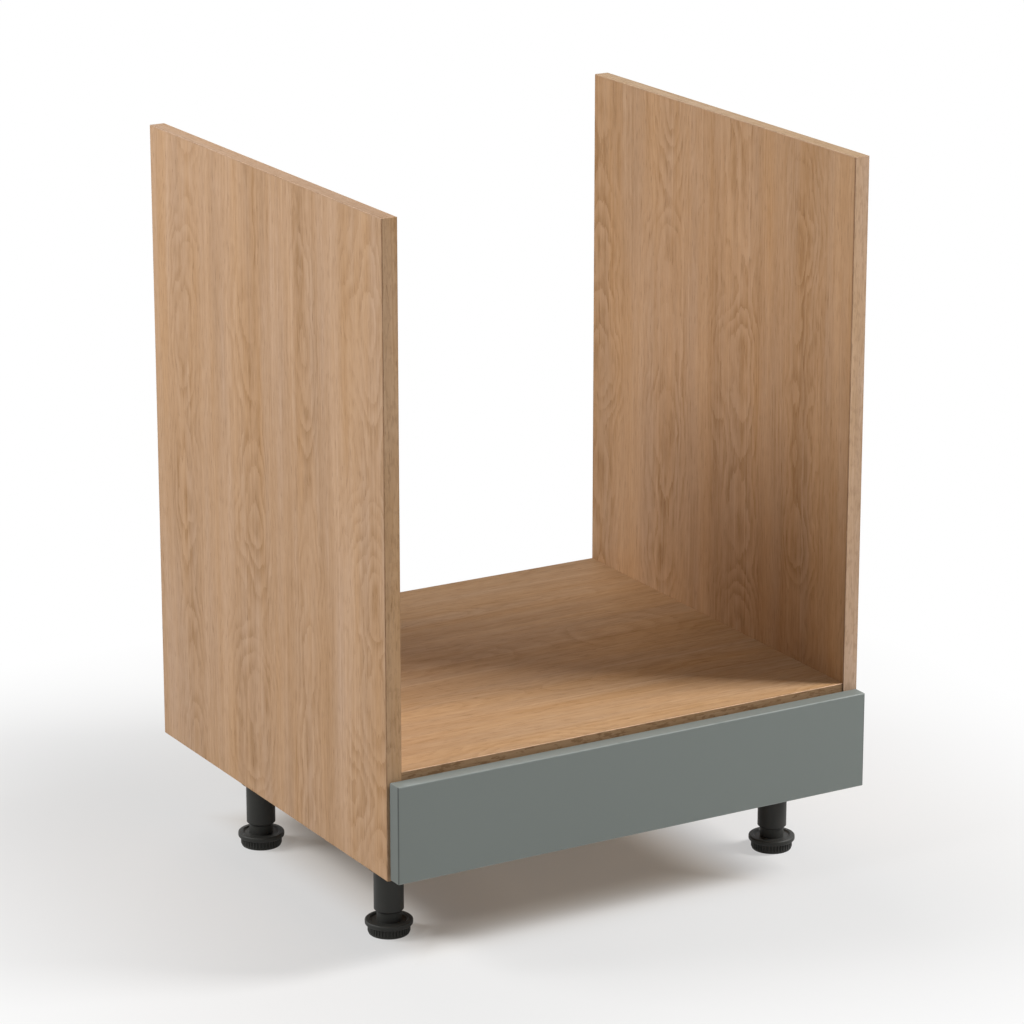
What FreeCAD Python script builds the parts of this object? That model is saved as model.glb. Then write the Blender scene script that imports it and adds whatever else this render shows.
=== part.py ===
import FreeCAD, Part
import os
import re
import Sketcher

# Oven housing base cabinet. Two tall sides stand on four screw legs, with no back board and no rail at the
# top. A shelf between them carries the oven, and a low box below it is closed by a fixed front panel.
# Frame: +Z up, the front towards -Y, +X to the right when facing the front. The origin is on the floor, in
# the middle of the cabinet's outline.

SIZES = (
    ("cabinet_width", 600, "across the outer faces of the two sides"),
    ("carcass_depth", 540, "sides, front edge to back edge"),
    ("board", 18, "thickness of sides, shelf, base and rail"),
    ("niche_height", 600, "oven niche, top of the shelf to the top of the sides"),
    ("shelf_setback", 1, "shelf and base behind the front edge of the sides"),
    ("edging", 1, "thickness of the edging strips"),
    ("edging_round", 0.5, "rounded arris of the edging"),

    ("front_height", 110, "front panel"),
    ("front_thickness", 18, "front panel"),
    ("front_gap", 2, "front panel to the edges of the carcass"),
    ("front_reveal", 2, "ends of the front panel inside the outer faces of the sides"),
    ("front_lift", 2, "bottom of the front panel above the bottom of the carcass"),
    ("front_drop", 8, "top of the front panel below the top of the shelf"),
    ("front_round", 1.2, "rounded arris of the front panel"),

    ("cam_diameter", 15, "cam lock"),
    ("cam_height", 13, "cam lock"),
    ("cam_reach", 34, "end of the board to the middle of the cam lock"),
    ("cam_inset", 37, "front and back edges to the cam joints"),
    ("cam_play", 0.4, "room round the bolt's head inside the cam"),
    ("cam_slot_length", 9, "cross slot of the cam lock"),
    ("cam_slot_width", 1.6, "cross slot of the cam lock"),
    ("cam_slot_depth", 3, "cross slot of the cam lock"),
    ("bolt_thread_diameter", 5, "cam bolt, in the side"),
    ("bolt_thread_length", 11, "cam bolt, in the side"),
    ("bolt_shaft_diameter", 6, "cam bolt, in the board"),
    ("bolt_neck_diameter", 3.5, "cam bolt, where the cam grips"),
    ("bolt_neck_length", 4, "cam bolt, where the cam grips"),
    ("bolt_head_diameter", 6, "cam bolt"),
    ("bolt_head_length", 3.5, "cam bolt"),
    ("bolt_past", 1, "end of the cam bolt past the middle of the cam"),
    ("bolt_bore", 8, "hole for the cam bolt in the end of the board"),
    ("dowel_diameter", 8, "wooden dowel"),
    ("dowel_length", 30, "wooden dowel"),
    ("dowel_in_side", 11, "length of the dowel inside the side"),
    ("dowel_chamfer", 1, "wooden dowel"),
    ("dowel_front_step", 43, "middle of the front legs to the dowel behind them"),
    ("dowel_back_step", 44, "middle of the back legs to the dowel behind them"),
    ("rail_dowel_inset", 20, "edges of the back rail to its dowels"),
    ("hole_clearance", 0.05, "round a fastener in its drilled hole"),
    ("hole_end_gap", 1, "past the end of a fastener in its hole"),

    ("bracket_side_reach", 32, "leg of the angle on the side"),
    ("bracket_front_reach", 32, "leg of the angle on the front panel"),
    ("bracket_thickness", 2, "sheet of the angle"),
    ("bracket_bend", 1, "inner radius of the angle's bend"),
    ("bracket_end_gap", 12, "angle to the base below and the shelf above"),
    ("bracket_screw_edge", 12, "ends of the angle to its screws"),
    ("bracket_screw_reach", 20, "corner of the angle to its screws"),
    ("bracket_hole_clearance", 0.4, "round the screws in the angle"),
    ("pan_diameter", 4, "pan head screw"),
    ("pan_length", 14, "pan head screw, below its head"),
    ("pan_tip", 3, "pointed end of the pan head screw"),
    ("pan_head_diameter", 8, "pan head screw"),
    ("pan_head_height", 2.6, "pan head screw"),
    ("pan_head_round", 1.2, "slope at the rim of the pan head"),
    ("flat_diameter", 3.5, "countersunk screw"),
    ("flat_length", 16, "countersunk screw, overall"),
    ("flat_tip", 3, "pointed end of the countersunk screw"),
    ("flat_head_diameter", 7, "countersunk screw"),
    ("recess_length", 4, "cross recess of the screws"),
    ("recess_width", 0.9, "cross recess of the screws"),
    ("recess_depth", 1.4, "cross recess of the screws"),

    ("leg_height", 100, "floor to the bottom of the carcass"),
    ("leg_side_inset", 50, "outer face of the side to the middle of the leg"),
    ("leg_front_inset", 90, "front edge of the carcass to the middle of the front legs"),
    ("leg_back_inset", 145, "back edge of the carcass to the middle of the back legs"),
    ("plate_reach", 32, "middle of the leg to the edges of its plate"),
    ("plate_thickness", 4, "plate of the leg socket"),
    ("plate_round", 4, "corners of the plate"),
    ("plate_screw_edge", 8, "edges of the plate to its screws"),
    ("tongue_width", 36, "tongue of the plate, which carries the side"),
    ("tongue_reach", 12, "tongue of the plate, under the side"),
    ("cup_wall", 5.65, "cup of the leg socket"),
    ("socket_depth", 21, "cup of the leg socket, below its plate"),
    ("socket_lead_in", 1, "bevel at the mouth of the cup"),
    ("socket_clearance", 0.1, "tube in the cup, all round"),
    ("tube_diameter", 33, "leg tube"),
    ("tube_wall", 1.4, "leg tube, behind its thread"),
    ("tube_bevel", 2.5, "lower end of the leg tube"),
    ("stem_shown", 9.5, "flange of the foot to the lower end of the tube"),
    ("stem_plain", 11.5, "stem of the foot, flange to the start of the thread"),
    ("stem_length", 45.5, "stem of the foot, above the flange"),
    ("stem_wall", 3.5, "stem of the foot, round its hollow"),
    ("thread_lead", 4, "travel of the foot in one turn"),
    ("thread_depth", 1.2, "height of the thread's ridge on the stem"),
    ("thread_root_width", 2.2, "ridge at the stem"),
    ("thread_crest_width", 1.2, "ridge at its crest"),
    ("thread_sink", 0.3, "foot of the ridge inside the stem"),
    ("thread_clearance", 0.4, "stem in the tube, all round"),
    ("thread_play", 0.35, "ridge in its groove, above and below"),
    ("thread_zone", 22, "threaded length of the tube"),
    ("flange_diameter", 53, "flange of the foot"),
    ("flange_height", 6, "flange of the foot"),
    ("flange_round", 1.8, "rim of the flange"),
    ("flange_rim", 5, "flat rim round the dish of the flange"),
    ("dish_depth", 1.5, "dish in the top of the flange"),
    ("dish_slope", 2, "slope between the rim and the dish"),
    ("grip_inset", 3, "grip inside the rim of the flange"),
    ("grip_height", 7.8, "ribbed grip of the foot"),
    ("grip_floor", 3.3, "floor of the foot, inside the grip"),
    ("rib_count", 40, "grooves round the grip"),
    ("rib_depth", 1.1, "grooves round the grip"),
    ("rib_mouth", 2.2, "width of a groove at the outside"),
    ("rib_floor", 0.8, "width of a groove at its floor"),
    ("disc_inset", 1, "disc inside the outside of the grip"),
    ("disc_height", 2.5, "disc under the foot"),
    ("disc_bevel", 0.5, "lower edge of the disc"),
    ("disc_gap", 0.2, "disc to the foot above it"),
    ("pin_diameter", 8, "snap pin of the disc"),
    ("pin_clearance", 0.3, "snap pin in the foot"),
    ("pin_head_diameter", 10, "barb of the snap pin"),
    ("pin_head_height", 3, "barb of the snap pin"),
)

doc = FreeCAD.newDocument("OvenHousing")
sheet = doc.addObject("Spreadsheet::Sheet", "Sizes")
for row, (name, number, meaning) in enumerate(SIZES, start=1):
    sheet.set(f"A{row}", meaning)
    sheet.set(f"B{row}", str(number))
    sheet.setAlias(f"B{row}", name)
doc.recompute()

SIZE_NAME = re.compile(r"\b(" + "|".join(name for name, number, meaning in SIZES) + r")\b")

# Places that several pieces share, as expressions of the sizes
BOTTOM = "leg_height"
SHELF_TOP = "(leg_height + front_lift + front_height + front_drop)"
SHELF_UNDER = f"({SHELF_TOP} - board)"
TOP = f"({SHELF_TOP} + niche_height)"
FRONT = "((front_gap + front_thickness - carcass_depth) / 2)"
BACK = "((front_gap + front_thickness + carcass_depth) / 2)"
SIDE_OUT = "(cabinet_width / 2)"
SIDE_IN = "(cabinet_width / 2 - board)"
INSIDE = "(cabinet_width - 2 * board)"
BASE_TOP = "(leg_height + board)"
BOX_MIDDLE = f"(({BASE_TOP} + {SHELF_UNDER}) / 2)"
SHELF_FRONT = f"({FRONT} + shelf_setback)"
PANEL_BACK = f"({FRONT} - front_gap)"
LEG_X = "(cabinet_width / 2 - leg_side_inset)"
FRONT_LEGS = f"({FRONT} + leg_front_inset)"
BACK_LEGS = f"({BACK} - leg_back_inset)"
PLATE_OUT = "(leg_side_inset - board)"
PLATE_UNDER = "(leg_height - plate_thickness)"
GRIP_UNDER = "(disc_height + disc_gap)"
FLANGE_UNDER = f"({GRIP_UNDER} + grip_height)"
FLANGE_TOP = f"({FLANGE_UNDER} + flange_height)"
TUBE_UNDER = f"({FLANGE_TOP} + stem_shown)"
STEM_TOP = f"({FLANGE_TOP} + stem_length)"
RIDGE_START = f"({FLANGE_TOP} + stem_plain + thread_root_width / 2)"

# Radii that fit one another, from the leg tube and the flange of the foot
TUBE = "(tube_diameter / 2)"
GROOVE = "(tube_diameter / 2 - tube_wall)"
BORE = f"({GROOVE} - thread_depth)"
STEM = f"({BORE} - thread_clearance)"
CUP = f"({TUBE} + socket_clearance + cup_wall)"
RIM = "(flange_diameter / 2)"
GRIP = f"({RIM} - grip_inset)"
DISC = f"({GRIP} - disc_inset)"

# Edges are told apart to this length
NEAR = 1e-6

# Directions of a fastener's own axis, which points into the board that holds it
UP = FreeCAD.Rotation()
TO_RIGHT = FreeCAD.Rotation(FreeCAD.Vector(0, 1, 0), 90)
TO_LEFT = FreeCAD.Rotation(FreeCAD.Vector(0, 1, 0), -90)
TO_BACK = FreeCAD.Rotation(FreeCAD.Vector(1, 0, 0), -90)
TO_FRONT = FreeCAD.Rotation(FreeCAD.Vector(1, 0, 0), 90)
HALF_TURN = FreeCAD.Rotation(FreeCAD.Vector(0, 0, 1), 180)

# The two sides: the sign of their X, the way into the cabinet and the way out of it
HANDS = (("left", "-", TO_RIGHT, TO_LEFT), ("right", "", TO_LEFT, TO_RIGHT))

sub_parts = []
drillings = {owner: [] for owner in ("left", "right", "shelf", "base", "rail", "front")}


def linked(expression):
    """The expression with each size pointed at its cell in the sheet."""
    return SIZE_NAME.sub(r"Sizes.\1", expression)


def value(expression):
    """The number that an expression of the sizes gives now."""
    return float(sheet.evalExpression(linked(expression)))


def bind(thing, **properties):
    """Tie properties of an object to expressions of the sizes."""
    for name, expression in properties.items():
        thing.setExpression(name, linked(expression))


def place(thing, point, rotation=UP):
    """Stand an object at a point given as three expressions, turned by a fixed rotation."""
    thing.Placement = FreeCAD.Placement(FreeCAD.Vector(), rotation)
    for axis, expression in zip("xyz", point):
        thing.setExpression(f"Placement.Base.{axis}", linked(expression))


def primitive(kind, name, point, rotation=UP, **sizes):
    """A Part primitive tied to the sizes."""
    solid = doc.addObject(kind, name)
    bind(solid, **sizes)
    place(solid, point, rotation)
    return solid


def drill(owner, diameter, depth, mouth, direction):
    """Add a round hole to the list of one board."""
    hole = primitive("Part::Cylinder", f"{owner}_hole", mouth, direction,
                     Radius=f"({diameter}) / 2", Height=depth)
    drillings[owner].append(hole)


def drilled(label, blank, owner):
    """A board with its holes cut, as a sub-part."""
    tools = doc.addObject("Part::Compound", f"{label}_holes")
    tools.Links = drillings[owner]
    board = doc.addObject("Part::Cut", label)
    board.Base = blank
    board.Tool = tools
    sub_parts.append(board)


def new_body(label, point=("0", "0", "0"), rotation=UP):
    """An empty PartDesign body at its place."""
    body = doc.addObject("PartDesign::Body", label)
    place(body, point, rotation)
    return body


def new_sketch(body, role, offset="0"):
    """A sketch on one of the body's own origin planes, or parallel to it."""
    sketch = body.newObject("Sketcher::SketchObject", f"{body.Name}_sketch")
    sketch.AttachmentSupport = [(next(p for p in body.Origin.OriginFeatures if p.Role == role), "")]
    sketch.MapMode = "FlatFace"
    sketch.setExpression("AttachmentOffset.Base.z", linked(offset))
    return sketch


def hold(sketch, geometry, position, point):
    """Hold a point of a sketch at its two expressions, measured from the sketch's origin."""
    for kind, expression in zip(("DistanceX", "DistanceY"), point):
        constraint = Sketcher.Constraint(kind, -1, 1, geometry, position, value(expression))
        number = sketch.addConstraint(constraint)
        sketch.setExpression(f"Constraints[{number}]", linked(expression))


def outline(sketch, corners):
    """A closed outline of straight lines, each corner held by its own expressions."""
    points = [FreeCAD.Vector(value(across), value(along), 0) for across, along in corners]
    count = len(points)
    for corner in range(count):
        sketch.addGeometry(Part.LineSegment(points[corner], points[(corner + 1) % count]))
    for corner in range(count):
        sketch.addConstraint(Sketcher.Constraint("Coincident", corner, 2, (corner + 1) % count, 1))
    for corner, point in enumerate(corners):
        hold(sketch, corner, 1, point)


def circles(sketch, diameter, middles):
    """Circles of one diameter round points held by their own expressions."""
    for number, middle in enumerate(middles):
        centre = FreeCAD.Vector(value(middle[0]), value(middle[1]), 0)
        sketch.addGeometry(Part.Circle(centre, FreeCAD.Vector(0, 0, 1), value(diameter) / 2))
        hold(sketch, number, 3, middle)
        size = sketch.addConstraint(Sketcher.Constraint("Diameter", number, value(diameter)))
        sketch.setExpression(f"Constraints[{size}]", linked(diameter))


def feature(body, kind, name, sketch, **sizes):
    """A PartDesign feature made from a sketch and tied to the sizes."""
    made = body.newObject(f"PartDesign::{kind}", f"{body.Name}_{name}")
    made.Profile = sketch
    bind(made, **sizes)
    return made


def cut_upwards(body, name, sketch, depth):
    """A pocket that cuts from the sketch along the sketch's own normal."""
    pocket = feature(body, "Pocket", name, sketch, Length=depth)
    pocket.Reversed = True
    return pocket


def turned(body, corners):
    """A solid turned round the body's Z axis from a profile of radii and heights."""
    sketch = new_sketch(body, "XZ_Plane")
    outline(sketch, corners)
    solid = feature(body, "Revolution", "turned", sketch)
    solid.ReferenceAxis = (sketch, ["V_Axis"])
    solid.Angle = 360
    return solid


def helix(body, kind, corners, height):
    """A ridge or groove that winds right-handed round the body's Z axis."""
    sketch = new_sketch(body, "XZ_Plane")
    outline(sketch, corners)
    thread = feature(body, kind, "thread", sketch, Pitch="thread_lead", Height=height)
    thread.ReferenceAxis = (sketch, ["V_Axis"])
    thread.Mode = 0
    thread.Angle = 0
    return thread


def dress(body, kind, base, wanted, **sizes):
    """A fillet or chamfer on the edges of a feature that a test picks out."""
    doc.recompute()
    edges = [f"Edge{n}" for n, edge in enumerate(base.Shape.Edges, start=1) if wanted(edge)]
    made = body.newObject(f"PartDesign::{kind}", f"{body.Name}_{kind.lower()}")
    made.Base = (base, edges)
    bind(made, **sizes)
    return made


def is_upright(edge):
    """True for a straight edge along Z."""
    ends = [vertex.Point for vertex in edge.Vertexes]
    return len(ends) == 2 and (ends[1] - ends[0]).cross(FreeCAD.Vector(0, 0, 1)).Length < NEAR


def on_axis(edge, point):
    """True if an upright edge stands over a point of the floor."""
    stands = edge.Vertexes[0].Point
    return abs(stands.x - point.x) < NEAR and abs(stands.y - point.y) < NEAR


def is_circle(edge, radius, height):
    """True for a whole circle of this radius at this height."""
    if not isinstance(edge.Curve, Part.Circle) or not edge.Closed:
        return False
    return abs(edge.Curve.Radius - radius) < NEAR and abs(edge.Curve.Center.z - height) < NEAR


def cross(sketch, length, width):
    """The outline of a cross-shaped slot."""
    far = f"{length} / 2"
    near = f"{width} / 2"
    quarter = ((far, near), (near, near), (near, far))
    corners = list(quarter)
    corners += [(f"-{across}", along) for across, along in reversed(quarter)]
    corners += [(f"-{across}", f"-{along}") for across, along in quarter]
    corners += [(across, f"-{along}") for across, along in reversed(quarter)]
    outline(sketch, corners)


def copies(label, pattern, places):
    """Copies of one pattern, as one sub-part of separate solids."""
    links = []
    for point, rotation in places:
        link = doc.addObject("App::Link", f"{label}_copy")
        link.LinkedObject = pattern
        place(link, point, rotation)
        links.append(link)
    group = doc.addObject("Part::Compound", label)
    group.Links = links
    sub_parts.append(group)


def cam_lock_pattern():
    """A cam lock, its mouth face at Z 0 and the cam bolt coming in from +X."""
    body = new_body("cam_lock_pattern")
    disc = new_sketch(body, "XY_Plane")
    circles(disc, "cam_diameter - 2 * hole_clearance", [("0", "0")])
    feature(body, "Pad", "drum", disc, Length="cam_height")
    channel = new_sketch(body, "YZ_Plane", "-bolt_past - cam_play")
    circles(channel, "bolt_head_diameter + 2 * cam_play", [("0", "board / 2")])
    cut_upwards(body, "channel", channel, "cam_diameter")
    slot = new_sketch(body, "XY_Plane")
    cross(slot, "cam_slot_length", "cam_slot_width")
    cut_upwards(body, "slot", slot, "cam_slot_depth")
    return body


def cam_bolt_pattern():
    """A cam bolt, with Z 0 where the board meets the side."""
    end = "(cam_reach + bolt_past)"
    head = f"({end} - bolt_head_length)"
    neck = f"({head} - bolt_neck_length)"
    body = new_body("cam_bolt_pattern")
    turned(body, [
        ("0", "-bolt_thread_length"),
        ("bolt_thread_diameter / 2", "-bolt_thread_length"),
        ("bolt_thread_diameter / 2", "0"),
        ("bolt_shaft_diameter / 2", "0"),
        ("bolt_shaft_diameter / 2", neck),
        ("bolt_neck_diameter / 2", neck),
        ("bolt_neck_diameter / 2", head),
        ("bolt_head_diameter / 2", head),
        ("bolt_head_diameter / 2", end),
        ("0", end),
    ])
    return body


def dowel_pattern():
    """A dowel, with Z 0 where the board meets the side."""
    rim = "dowel_diameter / 2"
    low = "-dowel_in_side"
    high = "(dowel_length - dowel_in_side)"
    body = new_body("dowel_pattern")
    turned(body, [
        ("0", low),
        (f"{rim} - dowel_chamfer", low),
        (rim, f"{low} + dowel_chamfer"),
        (rim, f"{high} - dowel_chamfer"),
        (f"{rim} - dowel_chamfer", high),
        ("0", high),
    ])
    return body


def pan_screw_pattern():
    """A pan head screw, its head seated at Z 0."""
    body = new_body("pan_screw_pattern")
    turned(body, [
        ("0", "-pan_head_height"),
        ("pan_head_diameter / 2 - pan_head_round", "-pan_head_height"),
        ("pan_head_diameter / 2", "pan_head_round - pan_head_height"),
        ("pan_head_diameter / 2", "0"),
        ("pan_diameter / 2", "0"),
        ("pan_diameter / 2", "pan_length - pan_tip"),
        ("0", "pan_length"),
    ])
    recess = new_sketch(body, "XY_Plane", "-pan_head_height")
    cross(recess, "recess_length", "recess_width")
    cut_upwards(body, "recess", recess, "recess_depth")
    return body


def flat_screw_pattern():
    """A countersunk screw, its head flush at Z 0."""
    body = new_body("flat_screw_pattern")
    turned(body, [
        ("0", "0"),
        ("flat_head_diameter / 2", "0"),
        ("flat_diameter / 2", "(flat_head_diameter - flat_diameter) / 2"),
        ("flat_diameter / 2", "flat_length - flat_tip"),
        ("0", "flat_length"),
    ])
    recess = new_sketch(body, "XY_Plane")
    cross(recess, "recess_length", "recess_width")
    cut_upwards(body, "recess", recess, "recess_depth")
    return body


def joints_of_boards():
    """Cam locks, cam bolts and dowels between the sides and what they hold, with the holes for them."""
    cams = []
    bolts = []
    dowels = []

    def cam_joint(owner, hand, along, height, mouth_y, mouth_z, cam_rotation):
        side, sign, inward, outward = hand
        face = (f"{sign}{SIDE_IN}", along, height)
        middle = (f"{sign}({SIDE_IN} - cam_reach)", mouth_y, mouth_z)
        pilot = "bolt_thread_diameter + 2 * hole_clearance"
        drill(side, pilot, "bolt_thread_length + hole_end_gap", face, outward)
        drill(owner, "bolt_bore", "cam_reach", face, inward)
        drill(owner, "cam_diameter", "cam_height + hole_clearance", middle, cam_rotation)
        bolts.append((face, inward))
        cams.append((middle, cam_rotation.multiply(HALF_TURN) if sign else cam_rotation))

    def dowel_joint(owner, hand, along, height):
        side, sign, inward, outward = hand
        face = (f"{sign}{SIDE_IN}", along, height)
        bore = "dowel_diameter + 2 * hole_clearance"
        drill(side, bore, "dowel_in_side + hole_end_gap", face, outward)
        drill(owner, bore, "dowel_length - dowel_in_side + hole_end_gap", face, inward)
        dowels.append((face, inward))

    for hand in HANDS:
        for owner, under in (("shelf", SHELF_UNDER), ("base", BOTTOM)):
            height = f"({under} + board / 2)"
            for along in (f"({FRONT} + cam_inset)", f"({BACK} - cam_inset)"):
                cam_joint(owner, hand, along, height, along, under, UP)
            dowel_joint(owner, hand, f"({FRONT_LEGS} + dowel_front_step)", height)
            dowel_joint(owner, hand, f"({BACK_LEGS} + dowel_back_step)", height)
        along = f"({BACK} - board / 2)"
        cam_joint("rail", hand, along, BOX_MIDDLE, f"({BACK} - board)", BOX_MIDDLE, TO_BACK)
        dowel_joint("rail", hand, along, f"({BASE_TOP} + rail_dowel_inset)")
        dowel_joint("rail", hand, along, f"({SHELF_UNDER} - rail_dowel_inset)")

    copies("cam_locks", cam_lock_pattern(), cams)
    copies("cam_bolts", cam_bolt_pattern(), bolts)
    copies("dowels", dowel_pattern(), dowels)


def front_brackets():
    """Two steel angles that carry the front panel inside the box, with their screws."""
    height = f"({SHELF_UNDER} - {BASE_TOP} - 2 * bracket_end_gap)"
    low = f"({BASE_TOP} + bracket_end_gap)"
    levels = ("bracket_screw_edge", f"({height} - bracket_screw_edge)")
    side_screws = []
    front_screws = []
    for side, sign, inward, outward in HANDS:
        into = "" if sign else "-"
        body = new_body(f"front_bracket_{side}", (f"{sign}{SIDE_IN}", PANEL_BACK, low))
        profile = new_sketch(body, "XY_Plane")
        outline(profile, [
            ("0", "0"),
            (f"{into}bracket_front_reach", "0"),
            (f"{into}bracket_front_reach", "bracket_thickness"),
            (f"{into}bracket_thickness", "bracket_thickness"),
            (f"{into}bracket_thickness", "bracket_side_reach"),
            ("0", "bracket_side_reach"),
        ])
        solid = feature(body, "Pad", "angle", profile, Length=height)
        inner = FreeCAD.Vector(value(f"{into}bracket_thickness"), value("bracket_thickness"), 0)
        solid = dress(body, "Fillet", solid, lambda edge: is_upright(edge) and on_axis(edge, inner),
                      Radius="bracket_bend")
        outer = FreeCAD.Vector()
        solid = dress(body, "Fillet", solid, lambda edge: is_upright(edge) and on_axis(edge, outer),
                      Radius="bracket_bend + bracket_thickness")
        bore = "pan_diameter + 2 * bracket_hole_clearance"
        in_front = new_sketch(body, "XZ_Plane", "-bracket_side_reach")
        circles(in_front, bore, [(f"{into}bracket_screw_reach", level) for level in levels])
        cut_upwards(body, "front_holes", in_front, "2 * bracket_side_reach")
        in_side = new_sketch(body, "YZ_Plane", "-bracket_front_reach")
        circles(in_side, bore, [("bracket_screw_reach", level) for level in levels])
        cut_upwards(body, "side_holes", in_side, "2 * bracket_front_reach")
        sub_parts.append(body)

        pilot = "pan_diameter + 2 * hole_clearance"
        depth = "pan_length - bracket_thickness + hole_end_gap"
        for level in levels:
            across = f"{sign}({SIDE_IN} - bracket_screw_reach)"
            along = f"({PANEL_BACK} + bracket_screw_reach)"
            z = f"({low} + {level})"
            drill(side, pilot, depth, (f"{sign}{SIDE_IN}", along, z), outward)
            drill("front", pilot, depth, (across, PANEL_BACK, z), TO_FRONT)
            side_screws.append(((f"{sign}({SIDE_IN} - bracket_thickness)", along, z), outward))
            front_screws.append(((across, f"({PANEL_BACK} + bracket_thickness)", z), TO_FRONT))
    pattern = pan_screw_pattern()
    copies("bracket_side_screws", pattern, side_screws)
    copies("bracket_front_screws", pattern, front_screws)


def leg_socket_pattern():
    """Mounting plate with a tongue under the side, and the cup that holds the leg tube."""
    body = new_body("leg_socket_pattern")
    plate = new_sketch(body, "XY_Plane", PLATE_UNDER)
    outline(plate, [
        (f"-{PLATE_OUT}", "-plate_reach"),
        ("plate_reach", "-plate_reach"),
        ("plate_reach", "plate_reach"),
        (f"-{PLATE_OUT}", "plate_reach"),
        (f"-{PLATE_OUT}", "tongue_width / 2"),
        (f"-{PLATE_OUT} - tongue_reach", "tongue_width / 2"),
        (f"-{PLATE_OUT} - tongue_reach", "-tongue_width / 2"),
        (f"-{PLATE_OUT}", "-tongue_width / 2"),
    ])
    solid = feature(body, "Pad", "plate", plate, Length="plate_thickness")
    solid = dress(body, "Fillet", solid, is_upright, Radius="plate_round")
    screws = new_sketch(body, "XY_Plane", PLATE_UNDER)
    bore = "flat_diameter + 2 * hole_clearance"
    circles(screws, bore, [
        (across, f"{sign}(plate_reach - plate_screw_edge)")
        for across in (f"-({PLATE_OUT} - plate_screw_edge)", "plate_reach - plate_screw_edge")
        for sign in ("-", "")
    ])
    solid = cut_upwards(body, "screw_holes", screws, "plate_thickness")
    radius = value(bore) / 2
    level = value(PLATE_UNDER)
    dress(body, "Chamfer", solid, lambda edge: is_circle(edge, radius, level),
          Size="(flat_head_diameter - flat_diameter) / 2")
    rim = new_sketch(body, "XY_Plane", f"{PLATE_UNDER} - socket_depth")
    circles(rim, f"2 * {CUP}", [("0", "0")])
    feature(body, "Pad", "cup", rim, Length="socket_depth")
    bore = new_sketch(body, "XY_Plane", f"{PLATE_UNDER} - socket_depth")
    circles(bore, "tube_diameter + 2 * socket_clearance", [("0", "0")])
    solid = cut_upwards(body, "bore", bore, "socket_depth")
    low = value(f"{PLATE_UNDER} - socket_depth")
    dress(body, "Chamfer", solid, lambda edge: is_circle(edge, value(CUP), low),
          Size="socket_lead_in")
    return body


def leg_tube_pattern():
    """Plain tube, bevelled at its lower end, with a threaded lower bore and a wider bore above it."""
    body = new_body("leg_tube_pattern")
    turned(body, [
        (BORE, TUBE_UNDER),
        (f"{TUBE} - tube_bevel", TUBE_UNDER),
        (TUBE, f"{TUBE_UNDER} + tube_bevel"),
        (TUBE, PLATE_UNDER),
        (GROOVE, PLATE_UNDER),
        (GROOVE, f"{TUBE_UNDER} + thread_zone"),
        (BORE, f"{TUBE_UNDER} + thread_zone"),
    ])
    turns_below = f"(floor(({TUBE_UNDER} - {RIDGE_START}) / thread_lead) - 1)"
    start = f"({RIDGE_START} + thread_lead * {turns_below})"
    root = "(thread_root_width / 2 + thread_play)"
    crest = "(thread_crest_width / 2 + thread_play)"
    helix(body, "SubtractiveHelix", [
        (STEM, f"{start} - {root}"),
        (GROOVE, f"{start} - {crest}"),
        (GROOVE, f"{start} + {crest}"),
        (STEM, f"{start} + {root}"),
    ], "thread_zone + 3 * thread_lead")
    return body


def foot_pattern():
    """Ribbed grip, dished flange and hollow threaded stem, which screw into the leg tube."""
    hollow = f"({STEM} - stem_wall)"
    dish = f"({FLANGE_TOP} - dish_depth)"
    pin_hole = "(pin_diameter / 2 + pin_clearance)"
    grip_floor = f"({GRIP_UNDER} + grip_floor)"
    body = new_body("foot_pattern")
    solid = turned(body, [
        (pin_hole, GRIP_UNDER),
        (GRIP, GRIP_UNDER),
        (GRIP, FLANGE_UNDER),
        (RIM, FLANGE_UNDER),
        (RIM, FLANGE_TOP),
        (f"{RIM} - flange_rim", FLANGE_TOP),
        (f"{RIM} - flange_rim - dish_slope", dish),
        (STEM, dish),
        (STEM, STEM_TOP),
        (hollow, STEM_TOP),
        (hollow, grip_floor),
        (pin_hole, grip_floor),
    ])
    rim_edges = [value(FLANGE_UNDER), value(FLANGE_TOP)]
    dress(body, "Fillet", solid, lambda edge: any(is_circle(edge, value(RIM), z) for z in rim_edges),
          Radius="flange_round")
    groove = new_sketch(body, "XY_Plane", GRIP_UNDER)
    outline(groove, [
        (f"{GRIP} - rib_depth", "-rib_floor / 2"),
        (f"{GRIP} + rib_depth", "-rib_mouth + rib_floor / 2"),
        (f"{GRIP} + rib_depth", "rib_mouth - rib_floor / 2"),
        (f"{GRIP} - rib_depth", "rib_floor / 2"),
    ])
    first = cut_upwards(body, "rib_groove", groove, "grip_height")
    ribs = body.newObject("PartDesign::PolarPattern", "foot_ribs")
    ribs.Originals = [first]
    ribs.Axis = (groove, ["N_Axis"])
    ribs.Angle = 360
    bind(ribs, Occurrences="rib_count")
    body.Tip = ribs
    sunk = f"{STEM} - thread_sink"
    helix(body, "AdditiveHelix", [
        (sunk, f"{RIDGE_START} - thread_root_width / 2"),
        (f"{STEM} + thread_depth", f"{RIDGE_START} - thread_crest_width / 2"),
        (f"{STEM} + thread_depth", f"{RIDGE_START} + thread_crest_width / 2"),
        (sunk, f"{RIDGE_START} + thread_root_width / 2"),
    ], "stem_length - stem_plain - 2 * thread_root_width")
    return body


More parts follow.
